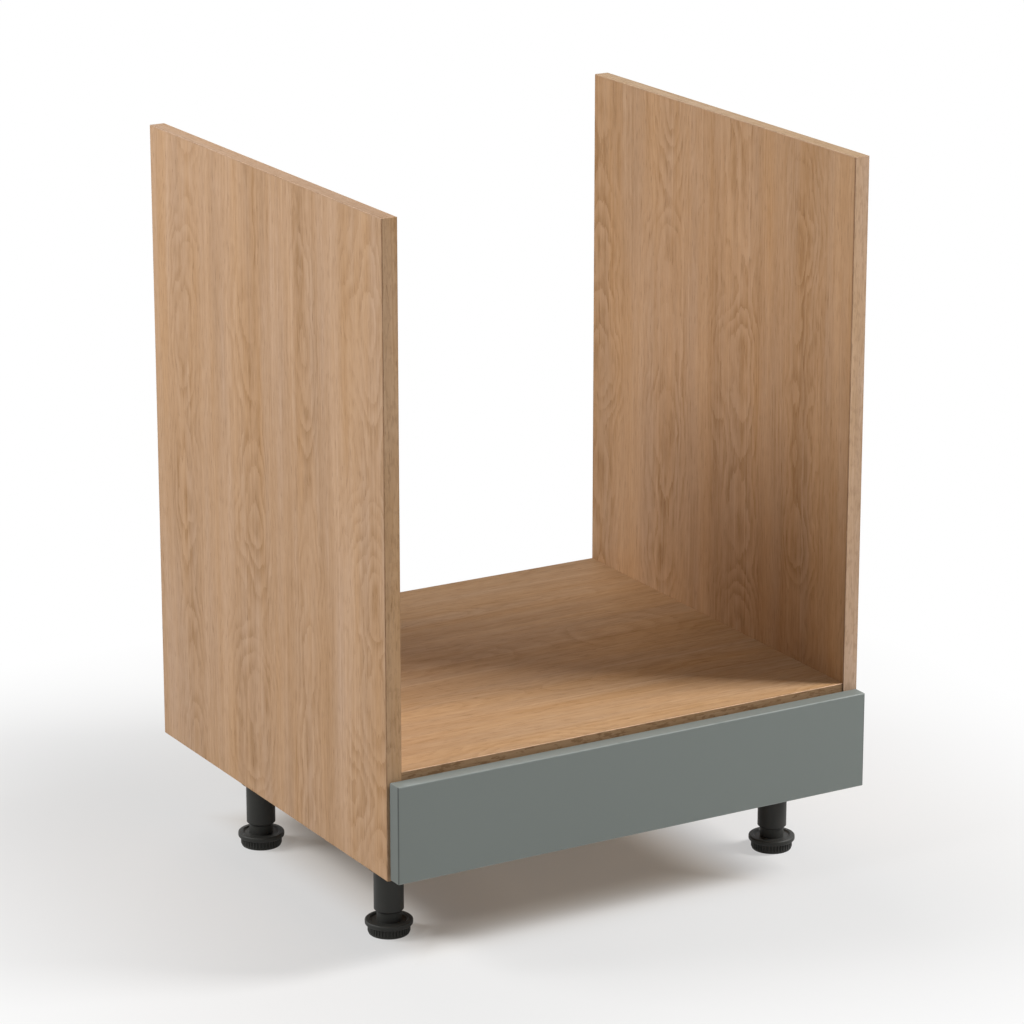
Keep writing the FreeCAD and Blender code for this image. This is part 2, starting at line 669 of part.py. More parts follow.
def foot_disc_pattern():
    """Smooth disc on the floor, with a snap pin that the foot turns on."""
    barb = f"({GRIP_UNDER} + grip_floor + pin_clearance)"
    body = new_body("foot_disc_pattern")
    turned(body, [
        ("0", "0"),
        (f"{DISC} - disc_bevel", "0"),
        (DISC, "disc_bevel"),
        (DISC, "disc_height"),
        ("pin_diameter / 2", "disc_height"),
        ("pin_diameter / 2", barb),
        ("pin_head_diameter / 2", barb),
        ("pin_diameter / 2", f"{barb} + pin_head_height"),
        ("0", f"{barb} + pin_head_height"),
    ])
    return body


def legs():
    """Four legs of four mouldings each, and the screws that hold their sockets to the base."""
    patterns = {
        "leg_socket": leg_socket_pattern(),
        "leg_tube": leg_tube_pattern(),
        "foot": foot_pattern(),
        "foot_disc": foot_disc_pattern(),
    }
    screws = []
    for row, along in (("front", FRONT_LEGS), ("back", BACK_LEGS)):
        for side, sign, inward, outward in HANDS:
            corner = f"{row}_{side}"
            axis = (f"{sign}{LEG_X}", along, "0")
            rotation = UP if sign else HALF_TURN
            for moulding, pattern in patterns.items():
                copies(f"{moulding}_{corner}", pattern, [(axis, rotation)])
            for across in (f"({SIDE_IN} - plate_screw_edge)", f"({LEG_X} - plate_reach + plate_screw_edge)"):
                for step in ("-", "+"):
                    y = f"({along} {step} (plate_reach - plate_screw_edge))"
                    drill("base", "flat_diameter + 2 * hole_clearance",
                          "flat_length - plate_thickness + hole_end_gap", (f"{sign}{across}", y, BOTTOM), UP)
                    screws.append(((f"{sign}{across}", y, PLATE_UNDER), UP))
    copies("socket_screws", flat_screw_pattern(), screws)


def edging_strip(label, length, point, rotation=UP):
    """An edging strip with its outer face towards -Y, its width along X and its length along Z."""
    body = new_body(label, point, rotation)
    section = new_sketch(body, "XY_Plane")
    outline(section, [("0", "0"), ("board", "0"), ("board", "edging"), ("0", "edging")])
    solid = feature(body, "Pad", "strip", section, Length=length)
    dress(body, "Fillet", solid, lambda edge: is_upright(edge) and abs(edge.Vertexes[0].Point.y) < NEAR,
          Radius="edging_round")
    sub_parts.append(body)


def boards():
    """Sides, shelf, base and back rail, with the edging on the edges that show."""
    for side, sign, inward, outward in HANDS:
        outer = f"-{SIDE_OUT}" if sign else SIDE_IN
        blank = primitive("Part::Box", f"{side}_side_blank", (outer, f"{FRONT} + edging", BOTTOM),
                          Length="board", Width="carcass_depth - edging", Height=f"{TOP} - edging - {BOTTOM}")
        drilled(f"{side}_side_panel", blank, side)
        edging_strip(f"{side}_front_edging", f"{TOP} - {BOTTOM}", (outer, FRONT, BOTTOM))
        edging_strip(f"{side}_top_edging", "carcass_depth - edging",
                     (outer, f"{FRONT} + edging", TOP), TO_BACK)
    for owner, label, under in (("shelf", "oven_shelf", SHELF_UNDER), ("base", "base_panel", BOTTOM)):
        blank = primitive("Part::Box", f"{label}_blank", (f"-{SIDE_IN}", f"{SHELF_FRONT} + edging", under),
                          Length=INSIDE, Width="carcass_depth - shelf_setback - edging", Height="board")
        drilled(label, blank, owner)
        edging_strip(f"{owner}_front_edging", INSIDE, (SIDE_IN, SHELF_FRONT, under), TO_LEFT)
    blank = primitive("Part::Box", "rear_rail_blank", (f"-{SIDE_IN}", f"{BACK} - board", BASE_TOP),
                      Length=INSIDE, Width="board", Height=f"{SHELF_UNDER} - {BASE_TOP}")
    drilled("rear_rail", blank, "rail")


def front_panel():
    """Filler panel below the oven, with soft edges, held off the carcass by its brackets."""
    end = f"({SIDE_OUT} - front_reveal)"
    body = new_body("front_panel_blank", ("0", PANEL_BACK, f"{BOTTOM} + front_lift"))
    face = new_sketch(body, "XZ_Plane")
    outline(face, [
        (f"-{end}", "0"),
        (end, "0"),
        (end, "front_height"),
        (f"-{end}", "front_height"),
    ])
    solid = feature(body, "Pad", "panel", face, Length="front_thickness")
    dress(body, "Fillet", solid, lambda edge: True, Radius="front_round")
    drilled("front_panel", body, "front")


def write_parts():
    """Check every object of the document, then write one file for each sub-part."""
    doc.recompute()
    for thing in doc.Objects:
        if "Invalid" in thing.State or "Error" in thing.State:
            raise RuntimeError(f"{thing.Label} is {thing.State}")
    for piece in sub_parts:
        if piece.Shape.isNull() or not piece.Shape.isValid():
            raise RuntimeError(f"{piece.Label} has no valid shape")
    os.makedirs("parts", exist_ok=True)
    for piece in sub_parts:
        piece.Shape.exportStep(f"parts/{piece.Label}.step")
        print(f"{piece.Label}: {len(piece.Shape.Solids)} solids, {piece.Shape.Volume / 1000:.2f} cm3")


joints_of_boards()
front_brackets()
legs()
boards()
front_panel()
write_parts()
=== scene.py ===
"""Looks of an oven housing base cabinet: oak-effect boards, a grey-green front panel and black legs."""

import math
from collections import namedtuple

import bpy
from bpy.props import FloatProperty, FloatVectorProperty, PointerProperty
from mathutils import Euler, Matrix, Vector


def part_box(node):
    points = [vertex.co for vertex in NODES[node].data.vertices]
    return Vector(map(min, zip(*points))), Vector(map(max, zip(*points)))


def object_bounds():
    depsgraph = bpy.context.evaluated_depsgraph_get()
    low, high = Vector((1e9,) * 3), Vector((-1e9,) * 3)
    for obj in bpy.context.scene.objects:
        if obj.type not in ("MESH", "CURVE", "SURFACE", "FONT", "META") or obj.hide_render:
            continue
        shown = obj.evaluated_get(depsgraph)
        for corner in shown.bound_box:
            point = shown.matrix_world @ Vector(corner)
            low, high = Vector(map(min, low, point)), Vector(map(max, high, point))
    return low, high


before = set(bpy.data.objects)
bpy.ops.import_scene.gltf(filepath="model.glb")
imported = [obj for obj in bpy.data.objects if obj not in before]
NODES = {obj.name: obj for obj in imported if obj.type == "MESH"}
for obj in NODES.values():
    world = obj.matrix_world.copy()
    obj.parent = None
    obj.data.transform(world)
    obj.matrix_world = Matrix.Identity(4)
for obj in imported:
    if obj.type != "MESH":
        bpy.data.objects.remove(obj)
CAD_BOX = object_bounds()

bl_info = {
    "name": "Oven Housing Looks",
    "version": (1, 0, 0),
    "blender": (4, 5, 0),
    "location": "View3D > Sidebar > Cabinet",
    "description": "Finishes and studio for an oven housing base cabinet",
    "category": "Object",
}

CORNERS = ("front_left", "front_right", "back_left", "back_right")
LEG_MOULDINGS = ("leg_socket", "leg_tube", "foot", "foot_disc")
STEEL_NODES = ("front_bracket_left", "front_bracket_right", "bracket_side_screws", "bracket_front_screws",
               "cam_locks", "cam_bolts", "socket_screws")
WHITE = (1.0, 1.0, 1.0, 1.0)

# A board: axes across the grain, along it and through the board, the place of its cut of the print, the
# strength of its arches and of its glue line, its gloss and its tint
Board = namedtuple("Board", "across along through cut arches glue gloss tint")
BOARDS = {
    "left_side_panel": Board("Y", "Z", "X", 3.1, 0.72, 0.6, 0.14, (1.0, 0.972, 0.965)),
    "right_side_panel": Board("Y", "Z", "X", 17.7, 0.9, 0.6, 0.14, (0.91, 0.87, 0.81)),
    "oven_shelf": Board("Y", "X", "Z", 29.3, 0.45, 0.3, 0.03, (0.97, 0.94, 0.86)),
    "base_panel": Board("Y", "X", "Z", 41.9, 0.6, 0.3, 0.14, (0.97, 0.93, 0.87)),
    "rear_rail": Board("Z", "X", "Y", 53.2, 0.6, 0.0, 0.14, (0.97, 0.93, 0.87)),
}
# An edging strip: axes and cut as for a board, the strength of its flecks, the wood that shows at its rims
# (pale wood there is a painted highlight along the arris, pore colour a dark glue line), the shade of that
# wood (above 1 a brighter painted highlight), and its tint
Edging = namedtuple("Edging", "across along through cut flecks rims shade tint")
EDGINGS = {
    "left_front_edging": Edging("X", "Z", "Y", 61.5, 0.2, "pore", 1.0, (0.95, 0.91, 0.84)),
    "right_front_edging": Edging("X", "Z", "Y", 67.1, 0.2, "pore", 1.0, (1.09, 1.14, 1.28)),
    "left_top_edging": Edging("X", "Y", "Z", 71.8, 0.1, "pale", 1.0, (0.76, 0.72, 0.69)),
    "right_top_edging": Edging("X", "Y", "Z", 79.4, 0.1, "pale", 1.0, (0.74, 0.775, 0.785)),
    "shelf_front_edging": Edging("Z", "X", "Y", 83.6, 0.7, "pale", 1.7, (0.66, 0.62, 0.54)),
    "base_front_edging": Edging("Z", "X", "Y", 89.2, 0.4, "pale", 1.0, (0.85, 0.82, 0.77)),
}


def colour(name, description, default):
    """A colour that a user can change."""
    return FloatVectorProperty(name=name, description=description, default=default, subtype="COLOR",
                               size=3, min=0.0, max=1.0)


def share(name, description, default):
    """A number from 0 to 1 that a user can change."""
    return FloatProperty(name=name, description=description, default=default, subtype="FACTOR", min=0.0,
                         max=1.0)


def length(name, description, default):
    """A length that a user can change."""
    return FloatProperty(name=name, description=description, default=default, unit="LENGTH", min=0.0,
                         precision=5)


def power(name, description, default):
    """The power of a lamp, which a user can change."""
    return FloatProperty(name=name, description=description, default=default, unit="POWER", min=0.0)


def angle(name, description, degrees):
    """An angle that a user can change."""
    return FloatProperty(name=name, description=description, default=math.radians(degrees), subtype="ANGLE",
                         unit="ROTATION")


class OakSettings(bpy.types.PropertyGroup):
    """Oak print on the boards and on their edging"""
    pale: colour("Pale wood", "Sapwood between the rings", (0.578, 0.386, 0.262))
    middle: colour("Middle wood", "Most of the face", (0.480, 0.300, 0.180))
    deep: colour("Deep wood", "Dark bands and late wood", (0.356, 0.202, 0.098))
    pore: colour("Pores", "Short dark pores along the grain", (0.200, 0.108, 0.052))
    cool: colour("Cool cast", "Cast of the pinker bands", (0.945, 0.983, 1.0))
    warm: colour("Warm cast", "Cast of the yellower bands", (1.0, 0.978, 0.860))
    roughness: share("Roughness", "Gloss of the printed face", 0.56)
    wander: length("Wander", "How far the grain drifts to the side", 0.030)
    leaf: length("Leaf width", "Width of one leaf of the print, with one row of arches", 0.142)
    ring: length("Ring width", "Distance between growth rings", 0.0055)
    ring_bend: length("Ring bend", "How far the rings of a leaf bend to the side", 0.034)
    pith_least: length("Least pith depth", "Least depth of the pith behind the face of a leaf", 0.002)
    pith_range: length("Pith range", "How much deeper the pith can lie", 0.090)
    pore_depth: length("Pore depth", "Depth of the embossed pores", 0.00008)


class CoreSettings(bpy.types.PropertyGroup):
    """Chipboard that shows on the bare edges"""
    light: colour("Light chips", "Pale wood chips", (0.600, 0.440, 0.275))
    dark: colour("Dark chips", "Dark chips and bark", (0.330, 0.212, 0.122))
    roughness: share("Roughness", "Gloss of the bare chips", 0.86)
    paper: length("Face paper", "Thickness of the printed face over the core", 0.00035)


class FrontSettings(bpy.types.PropertyGroup):
    """Lacquer of the front panel"""
    lacquer: colour("Lacquer", "Grey-green lacquer", (0.190, 0.213, 0.199))
    # The rubbed lacquer is paler: along the edges it is a painted highlight on the arrises, and it also
    # colours the specks
    rubbed: colour("Rubbed lacquer", "Lacquer polished along the edges", (0.262, 0.288, 0.272))
    roughness: share("Roughness", "Gloss of the lacquer", 0.52)
    gloss: share("Reflection", "Strength of the reflection", 0.40)
    # Width of the painted highlight along the edges
    rub_width: length("Rubbed width", "Width of the polished edges", 0.0022)
    peel_depth: length("Peel depth", "Depth of the orange peel", 0.00004)


class LegSettings(bpy.types.PropertyGroup):
    """Moulded plastic of the legs"""
    plastic: colour("Plastic", "Black moulded plastic", (0.024, 0.024, 0.021))
    worn: colour("Worn plastic", "Plastic greyed by the floor and by hands", (0.050, 0.049, 0.045))
    roughness: share("Roughness", "Gloss of the plastic", 0.54)
    gloss: share("Reflection", "Strength of the reflection", 0.34)
    texture_depth: length("Texture depth", "Depth of the moulded texture", 0.00005)


class FixingSettings(bpy.types.PropertyGroup):
    """Steel and wooden fixings"""
    zinc: colour("Zinc", "Zinc plating", (0.60, 0.61, 0.62))
    tarnish: colour("Tarnish", "Dull patches of the plating", (0.42, 0.43, 0.43))
    beech: colour("Beech", "Wooden dowels", (0.62, 0.44, 0.27))
    zinc_roughness: share("Zinc roughness", "Gloss of the clean plating", 0.26)
    beech_roughness: share("Beech roughness", "Gloss of the dowels", 0.62)
    brush_depth: length("Brush depth", "Depth of the brushed lines", 0.00003)
    flute_depth: length("Flute depth", "Depth of the dowels' flutes", 0.0001)


class StudioSettings(bpy.types.PropertyGroup):
    """Floor, light and camera"""
    floor: colour("Floor", "Pale floor", (0.60, 0.597, 0.592))
    bounce: colour("Bounce", "Warm light that the boards throw on the floor under them", (1.0, 0.90, 0.78))
    floor_width: length("Floor width", "Width of the floor", 24.0)
    sky: FloatProperty(name="Sky", description="Strength of the even light", default=0.10, min=0.0)
    key: power("Key", "Power of the light at the front right", 186.0)
    left: power("Left", "Power of the light at the left", 25.0)
    left_back: power("Left back", "Power of the light at the left, towards the back", 27.5)
    rear_left: power("Rear left", "Power of the light at the rear left", 71.0)
    back: power("Back", "Power of the light behind", 35.0)
    lit_height: length("Lit height", "Height of the point that the lamps are turned to", 0.45)
    lamp_reach: length("Lamp reach", "Distance of the lamps from that point", 4.0)
    camera_place: FloatVectorProperty(name="Camera", description="Place of the camera",
                                      subtype="TRANSLATION", unit="LENGTH", size=3,
                                      default=(-2.3137, -3.9665, 1.7928))
    camera_turn: angle("Turn", "Camera turned to the right of the +Y axis", 30.306)
    camera_dip: angle("Dip", "Camera tilted below the horizon", 16.923)
    camera_lens: FloatProperty(name="Lens", description="Focal length in millimetres", default=149.99,
                               min=1.0, unit="CAMERA")
    camera_reach: length("Reach", "Farthest distance that the camera shows", 60.0)


class CabinetSettings(bpy.types.PropertyGroup):
    """All the settings of the cabinet"""
    oak: PointerProperty(type=OakSettings)
    core: PointerProperty(type=CoreSettings)
    front: PointerProperty(type=FrontSettings)
    legs: PointerProperty(type=LegSettings)
    fixings: PointerProperty(type=FixingSettings)
    studio: PointerProperty(type=StudioSettings)


class Value:
    """What a socket gives at each point of a surface. Arithmetic on it adds Math nodes."""

    def __init__(self, nodes, socket):
        self.nodes = nodes
        self.socket = socket

    def output(self, name):
        """Another output of the same node."""
        return Value(self.nodes, self.socket.node.outputs[name])

    def math(self, operation, *terms):
        return self.nodes.node("ShaderNodeMath", {"operation": operation}, dict(enumerate(terms)))

    def __add__(self, other):
        return self.math("ADD", self, other)

    __radd__ = __add__

    def __sub__(self, other):
        return self.math("SUBTRACT", self, other)

    def __rsub__(self, other):
        return self.math("SUBTRACT", other, self)

    def __mul__(self, other):
        return self.math("MULTIPLY", self, other)

    __rmul__ = __mul__

    def __truediv__(self, other):
        return self.math("DIVIDE", self, other)

    def __abs__(self):
        return self.math("ABSOLUTE", self)

    def least(self, other):
        return self.math("MINIMUM", self, other)

    def most(self, other):
        return self.math("MAXIMUM", self, other)

    def whole(self):
        return self.math("FLOOR", self)

    def part(self):
        return self.math("FRACT", self)

    def root(self):
        return self.math("SQRT", self)

    def rise(self, start, end):
        """0 before start, 1 after end, and smooth between them."""
        return self.nodes.node("ShaderNodeMapRange", {"interpolation_type": "SMOOTHSTEP"},
                               {"Value": self, "From Min": start, "From Max": end})

    def fall(self, start, end):
        """1 before start, 0 after end, and smooth between them."""
        return 1.0 - self.rise(start, end)


class Nodes:
    """The nodes of a finish or of the sky."""

    def __init__(self, owner):
        owner.use_nodes = True
        self.tree = owner.node_tree
        self.tree.nodes.clear()

    def node(self, kind, settings=None, inputs=None, output=None):
        """A node of this type, with its settings, its sockets' values or links, and the wanted output."""
        made = self.tree.nodes.new(kind)
        for name, setting in (settings or {}).items():
            if name == "stops":
                stops = made.color_ramp.elements
                while len(stops) < len(setting):
                    stops.new(1.0)
                for stop, (position, tint) in zip(stops, setting):
                    stop.position = position
                    stop.color = (*tint, 1.0)
            else:
                setattr(made, name, setting)
        for name, given in (inputs or {}).items():
            if isinstance(name, int):
                socket = made.inputs[name]
            else:
                socket = next(s for s in made.inputs if s.name == name and s.enabled)
            if isinstance(given, Value):
                self.tree.links.new(given.socket, socket)
            else:
                socket.default_value = given
        shown = [s for s in made.outputs if s.enabled]
        if not shown:
            return None
        return Value(self, shown[0] if output is None else next(s for s in shown if s.name == output))

    def watched(self):
        """1 for what the camera sees straight, in a gloss or through glass, and 0 for what only lights."""
        path = self.node("ShaderNodeLightPath", output="Is Camera Ray")
        return path.most(path.output("Is Glossy Ray")).most(path.output("Is Transmission Ray"))


class Finish(Nodes):
    """A material built from nodes."""

    def __init__(self, name):
        self.material = bpy.data.materials.new(name)
        super().__init__(self.material)
        self.place = self.node("ShaderNodeTexCoord", output="Object")
        self.axes = self.node("ShaderNodeSeparateXYZ", inputs={"Vector": self.place})

    def axis(self, letter):
        return self.axes.output(letter)

    def point(self, x, y, z):
        return self.node("ShaderNodeCombineXYZ", inputs={"X": x, "Y": y, "Z": z})

    def stretched(self, stretch):
        """The place on the surface, in waves per metre on X, Y and Z."""
        return self.point(*(self.axis(letter) * waves for letter, waves in zip("XYZ", stretch)))

    def noise(self, point, scale=1.0, octaves=2.0, roughness=0.5):
        inputs = {"Vector": point, "Scale": scale, "Detail": octaves, "Roughness": roughness}
        return self.node("ShaderNodeTexNoise", {"noise_dimensions": "3D"}, inputs, "Fac")

    def cloud(self, noise):
        """Noise that is the same on all axes."""
        return self.noise(self.place, noise.scale, noise.octaves, noise.roughness)

    def cells(self, point):
        """Cells: the distance from the middle of each, and a random number for each."""
        distance = self.node("ShaderNodeTexVoronoi", {"voronoi_dimensions": "3D"},
                             {"Vector": point, "Scale": 1.0, "Randomness": 1.0}, "Distance")
        colours = distance.output("Color")
        number = self.node("ShaderNodeSeparateColor", inputs={"Color": colours}, output="Red")
        return distance, number

    def mix(self, factor, first, second, blend="MIX"):
        """Two colours mixed by a factor."""
        return self.node("ShaderNodeMix", {"data_type": "RGBA", "blend_type": blend},
                         {"Factor": factor, "A": first, "B": second}, "Result")

    def tinted(self, base, tint):
        """A colour multiplied by another."""
        return self.mix(1.0, base, tint, "MULTIPLY")

    def ramp(self, factor, stops):
        return self.node("ShaderNodeValToRGB", {"stops": stops}, {"Fac": factor}, "Color")

    def surface(self, base, roughness, height, depth, gloss=0.5, metallic=0.0):
        """The shader of the whole surface, with a height in shares of a depth as its bump."""
        bump = self.node("ShaderNodeBump", inputs={"Strength": 1.0, "Distance": depth, "Height": height})
        shader = self.node("ShaderNodeBsdfPrincipled", inputs={"Base Color": base, "Roughness": roughness,
                                                               "Normal": bump, "Specular IOR Level": gloss,
                                                               "Metallic": metallic})
        self.node("ShaderNodeOutputMaterial", inputs={"Surface": shader})
        return self.material


def solid(rgb, shade=1.0):
    """A colour for a socket, darker or lighter by a shade."""
    return (*(shade * part for part in rgb), 1.0)


def wear(names, material):
    """Put a finish on CAD nodes."""
    for name in names:
        slots = NODES[name].data.materials
        slots.clear()
        slots.append(material)


# Noise that is the same on all axes: waves per metre, octaves and roughness
Noise = namedtuple("Noise", "scale octaves roughness")

# Noise of the oak print: waves per metre across and along the grain, octaves, roughness, and its own place
Layer = namedtuple("Layer", "across along octaves roughness place")
DRIFT = Layer(2.2, 1.3, 1.0, 0.5, 5.0)
OAK_LAYERS = {
    "tone": Layer(17.0, 1.1, 2.0, 0.55, 1.0),
    "band": Layer(62.0, 2.0, 2.0, 0.5, 2.0),
    "streak": Layer(235.0, 8.0, 3.0, 0.6, 3.0),
    "fine": Layer(760.0, 42.0, 2.0, 0.6, 4.0),
    "mottle": Layer(110.0, 34.0, 2.0, 0.6, 9.0),
    "warmth": Layer(34.0, 2.4, 2.0, 0.5, 10.0),
    "leaf_bend": Layer(5.0, 0.9, 1.0, 0.5, 12.0),
    "ring_bend": Layer(30.0, 8.0, 3.0, 0.6, 6.0),
    "patch": Layer(22.0, 6.5, 2.0, 0.55, 13.0),
    "pore": Layer(1150.0, 55.0, 1.5, 0.55, 8.0),
    "dark_line": Layer(430.0, 2.6, 2.0, 0.5, 14.0),
    "pale_line": Layer(360.0, 2.2, 2.0, 0.5, 15.0),
}
# The depth of the pith, which differs from leaf to leaf
PITH = Layer(7.31, 4.6, 2.0, 0.5, 11.0)
# The level that the print starts from, what each part adds to it, and where the wood is deep, middle and pale
OAK_LEVEL = 0.64
OAK_WEIGHTS = {"tone": 0.74, "band": 0.50, "streak": 0.42, "fine": 0.34, "mottle": 0.36, "late_wood": -0.42,
               "dark_line": -0.15, "pale_line": 0.18, "heart": -0.35, "swirl": -0.06}
DEEP_AT, MIDDLE_AT, PALE_AT = 0.08, 0.50, 0.92
COOL_AT, WARM_AT = 0.30, 0.70
# How many rings each part shifts the growth rings, and how many leaf widths a leaf bends to the side
RING_SHIFTS = {"swirl": 2.0, "streak": 0.6, "fine": 0.4, "mottle": 0.5}
LEAF_BEND = 1.1
# Knots: cells per metre across and along the grain and per layer, which cells hold one, and its reach
KNOT_ACROSS, KNOT_ALONG, KNOT_LAYER = 6.5, 2.1, 0.7
KNOT_CHANCE = (0.68, 0.72)
SWIRL_REACH = (0.0, 0.34)
HEART_REACH = (0.015, 0.075)
# Late wood and where its arches fade in, how far they reach to the sides in metres, and how much of it shows
# off the arches and at a knot
LATE_FADE = (0.15, 1.0)
PATCH_FADE = (0.34, 0.62)
ARCH_SIDES = (0.015, 0.060)
LEAST_FLAME, KNOT_FLAME = 0.22, 0.2
# Where pores and lines fade in, how many pores lie in the early wood, and how dark they are
PORE_FADE = (0.57, 0.68)
LINE_FADE = (0.56, 0.70)
LEAST_PORES = 0.30
PORE_SHADE = 0.45


def oak_noise(finish, spec, across, along, layer):
    """One layer of noise of the oak print."""
    point = finish.point(across * spec.across, along * spec.along, layer + spec.place)
    return finish.noise(point, 1.0, spec.octaves, spec.roughness)


def oak_print(finish, oak, across, along, layer, cut, arches):
    """Oak print: leaves with arched rings, streaks, pores and a few knots. Gives colour and pores."""
    drift = oak_noise(finish, DRIFT, across, along, layer)
    across = across + (drift - 0.5) * oak.wander
    grain = {name: oak_noise(finish, spec, across, along, layer) for name, spec in OAK_LAYERS.items()}
    parts = {name: grain[name] - 0.5 for name in ("tone", "band", "streak", "fine", "mottle")}
    parts["dark_line"] = grain["dark_line"].rise(*LINE_FADE)
    parts["pale_line"] = grain["pale_line"].rise(*LINE_FADE)

    cell = finish.point(across * KNOT_ACROSS, along * KNOT_ALONG, layer * KNOT_LAYER)
    distance, chance = finish.cells(cell)
    knot = chance.rise(*KNOT_CHANCE)
    parts["swirl"] = swirl = distance.fall(*SWIRL_REACH) * knot
    parts["heart"] = distance.fall(*HEART_REACH) * knot

    leaves = across / oak.leaf + (grain["leaf_bend"] - 0.5) * LEAF_BEND + cut
    leaf = leaves.whole()
    side = (leaves - leaf - 0.5) * oak.leaf + (grain["ring_bend"] - 0.5) * oak.ring_bend
    pith = oak.pith_least + oak_noise(finish, PITH, leaf, along, layer) * oak.pith_range
    rings = (side * side + pith * pith).root() / oak.ring
    for name, shift in RING_SHIFTS.items():
        rings = rings + parts[name] * shift
    late = (1.0 - rings.part()).rise(*LATE_FADE)
    arch = grain["patch"].rise(*PATCH_FADE) * abs(side).fall(*ARCH_SIDES)
    flame = (LEAST_FLAME + (1.0 - LEAST_FLAME) * arch + swirl * KNOT_FLAME).least(1.0) * arches
    parts["late_wood"] = late * flame
    pores = grain["pore"].rise(*PORE_FADE) * (LEAST_PORES + (1.0 - LEAST_PORES) * late)

    level = OAK_LEVEL
    for name, weight in OAK_WEIGHTS.items():
        level = level + parts[name] * weight
    face = finish.ramp(level, ((DEEP_AT, oak.deep), (MIDDLE_AT, oak.middle), (PALE_AT, oak.pale)))
    cast = finish.ramp(grain["warmth"], ((COOL_AT, oak.cool), (WARM_AT, oak.warm)))
    face = finish.mix(pores * PORE_SHADE, finish.tinted(face, cast), solid(oak.pore))
    return face, pores


# Chips per metre along the board and through it, how far from the middle the coarse ones end, and the gaps,
# which are darkened as painted shade in the hollows between chips
COARSE_CHIPS = (260.0, 900.0)
FINE_CHIPS = (900.0, 1700.0)
COARSE_HALF = (0.0035, 0.0060)
COARSE_GAPS = (0.55, 0.85)
FINE_GAPS = (0.70, 0.95)
FINE_GAP_SHARE = 0.5
GAP_DARKENS = 0.5
GAP_SHADE = 0.45


def chip_core(finish, core, across, along, middle):
    """Chipboard: coarse chips in the middle and fine ones near the faces. Gives colour and height."""

    def chips(flat, deep):
        return finish.cells(finish.point(across * flat, along * flat, middle * deep))

    coarse, coarse_tone = chips(*COARSE_CHIPS)
    fine, fine_tone = chips(*FINE_CHIPS)
    centre = abs(middle).fall(*COARSE_HALF)
    tone = coarse_tone * centre + fine_tone * (1.0 - centre)
    gaps = (coarse.rise(*COARSE_GAPS) * centre).most(fine.rise(*FINE_GAPS) * FINE_GAP_SHARE)
    base = finish.mix(tone, solid(core.light), solid(core.dark))
    # Painted shade: the gaps between chips darkened
    base = finish.mix(gaps * GAP_DARKENS, base, solid(core.dark, GAP_SHADE))
    return base, tone - gaps


# Below, a FADE gives the noise levels where a mark starts and is full, and a WIDTH the metres from an edge
# where it is full and where it ends
class CABINET_OT_boards(bpy.types.Operator):
    """Oak print on the faces of the boards and chipboard on their bare edges"""
    bl_idname = "cabinet.boards"
    bl_label = "Boards"

    LAYERS_THROUGH = 70.0
    PAPER_FADE = 0.6
    DIRT = Noise(38.0, 3.0, 0.6)
    DIRT_FADE = (0.42, 0.66)
    RUB_WIDTH = (0.0, 0.0030)
    RUB_SHADE = 0.30
    GLUE_WIDTH = (0.0005, 0.0013)
    HANDLING = Noise(7.0, 3.0, 0.6)
    HANDLED_ROUGHER = 0.10
    PORES_ROUGHER = 0.16
    CHIP_HEIGHT = 3.0

    def execute(self, context):
        for name, board in BOARDS.items():
            self.dress(context.scene.cabinet, name, board)
        return {"FINISHED"}

    def dress(self, settings, name, board):
        """The finish of one board."""
        oak = settings.oak
        low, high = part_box(name)
        depth = "XYZ".index(board.through)
        finish = Finish(f"oak_{name}")
        across, along, through = (finish.axis(letter) for letter in board[:3])
        layer = through * self.LAYERS_THROUGH + board.cut
        face, pores = oak_print(finish, oak, across, along, layer, board.cut, board.arches)
        face = finish.tinted(face, solid(board.tint))
        middle = through - (low[depth] + high[depth]) / 2
        core, chips = chip_core(finish, settings.core, across, along, middle)
        half = (high[depth] - low[depth]) / 2
        paper = settings.core.paper
        bare = abs(middle).fall(half - paper, half - paper * self.PAPER_FADE)
        dirt = finish.cloud(self.DIRT).rise(*self.DIRT_FADE)
        rubbed = self.edge(finish, low, high, depth).fall(*self.RUB_WIDTH) * dirt
        glue = (finish.axis("Y") - low.y).fall(*self.GLUE_WIDTH) * board.glue
        face = finish.mix(rubbed * self.RUB_SHADE, face, solid(oak.deep))
        face = finish.mix(glue, face, solid(oak.pore))
        handled = (finish.cloud(self.HANDLING) - 0.5) * self.HANDLED_ROUGHER
        rough = (oak.roughness + handled + pores * self.PORES_ROUGHER) * (1.0 - bare)
        rough = rough + bare * settings.core.roughness
        height = (1.0 - pores) * (1.0 - bare) + chips * bare * self.CHIP_HEIGHT
        base = finish.mix(bare, face, core)
        wear([name], finish.surface(base, rough, height, oak.pore_depth, board.gloss))

    @staticmethod
    def edge(finish, low, high, depth):
        """How far a point of a face lies from the nearest edge of its board."""
        spans = []
        for number, letter in enumerate("XYZ"):
            if number != depth:
                middle = (low[number] + high[number]) / 2
                spans.append((high[number] - low[number]) / 2 - abs(finish.axis(letter) - middle))
        return spans[0].least(spans[1])


